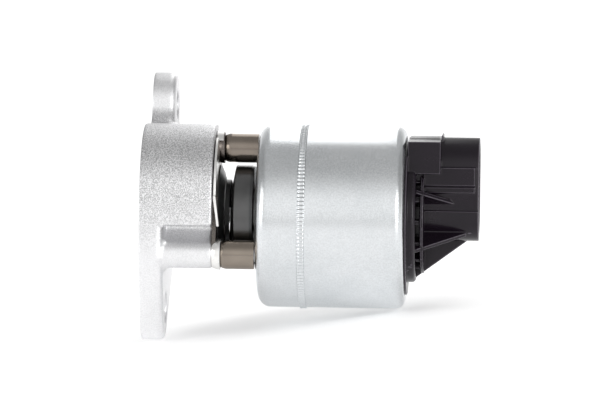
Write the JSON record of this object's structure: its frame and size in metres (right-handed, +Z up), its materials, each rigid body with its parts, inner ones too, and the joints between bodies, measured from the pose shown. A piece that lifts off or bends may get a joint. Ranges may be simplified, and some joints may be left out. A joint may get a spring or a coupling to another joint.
{
  "type": "egr valve",
  "caption": "Linear solenoid exhaust gas recirculation valve: eared gas housing with ports, solenoid canister on pillars, pintle, and a sensor cap with a connector shroud.",
  "frame": {"origin": "centre of the inlet port on the mounting face", "axes": "+X along the valve axis from the mounting face to the connector's mouth; +Z up with the valve lying on its side as pictured; +Y towards the outlet port, away from the camera"},
  "size_m": [0.1106, 0.0792, 0.0855],
  "materials": {
    "cast_housing": "blasted pale grey casting",
    "seat_steel": "satin stainless",
    "bush_bronze": "sintered bronze",
    "plated_steel": "dull plated sheet",
    "black_steel": "black oxide",
    "dark_steel": "dark phosphated",
    "bronze_tube": "taupe tinted plating",
    "zinc_can": "satin bluish zinc plating",
    "copper": "enamelled copper",
    "seal_rubber": "matte",
    "cap_plastic": "black glass-filled",
    "terminal_metal": "tin plated",
    "track_board": "resistor board",
    "white_plastic": "natural"
  },
  "bodies": {
    "valve_body": {"base_housing": "cast_housing", "valve_seat": "seat_steel", "stem_bush": "bush_bronze", "shield_plate": "plated_steel", "dished_washer": "black_steel", "seal_spring": "black_steel", "lower_pole": "dark_steel", "pillars": "bronze_tube", "housing_screws": "seat_steel", "solenoid_can": "zinc_can", "knurled_band": "zinc_can", "coil_bobbin": "cap_plastic", "coil_winding": "copper", "armature_sleeve": "seat_steel", "pole_core": "dark_steel", "return_spring": "seat_steel", "flux_washer": "dark_steel", "cap_seal": "seal_rubber", "sensor_cap": "cap_plastic", "connector_terminals": "terminal_metal", "sensor_track": "track_board", "plunger_spring": "seat_steel"},
    "pintle_assembly": {"pintle": "seat_steel", "armature": "dark_steel"},
    "sensor_slider": {"sensor_plunger": "white_plastic", "sensor_wiper": "copper"}
  },
  "joints": [
    {"name": "pintle_lift", "type": "slide", "parent": "valve_body", "child": "pintle_assembly", "axis": [1, 0, 0], "range_m": [0, 0.0045], "stiffness_N_per_m": 1500, "springref_m": -0.008, "deforming": ["return_spring"]},
    {"name": "sensor_slide", "type": "slide", "parent": "valve_body", "child": "sensor_slider", "axis": [1, 0, 0], "range_m": [0, 0.0045], "stiffness_N_per_m": 100, "springref_m": -0.005, "deforming": ["plunger_spring"]}
  ],
  "couplings": [
    {"joint": "sensor_slide", "follows": "pintle_lift", "ratio": 1}
  ]
}
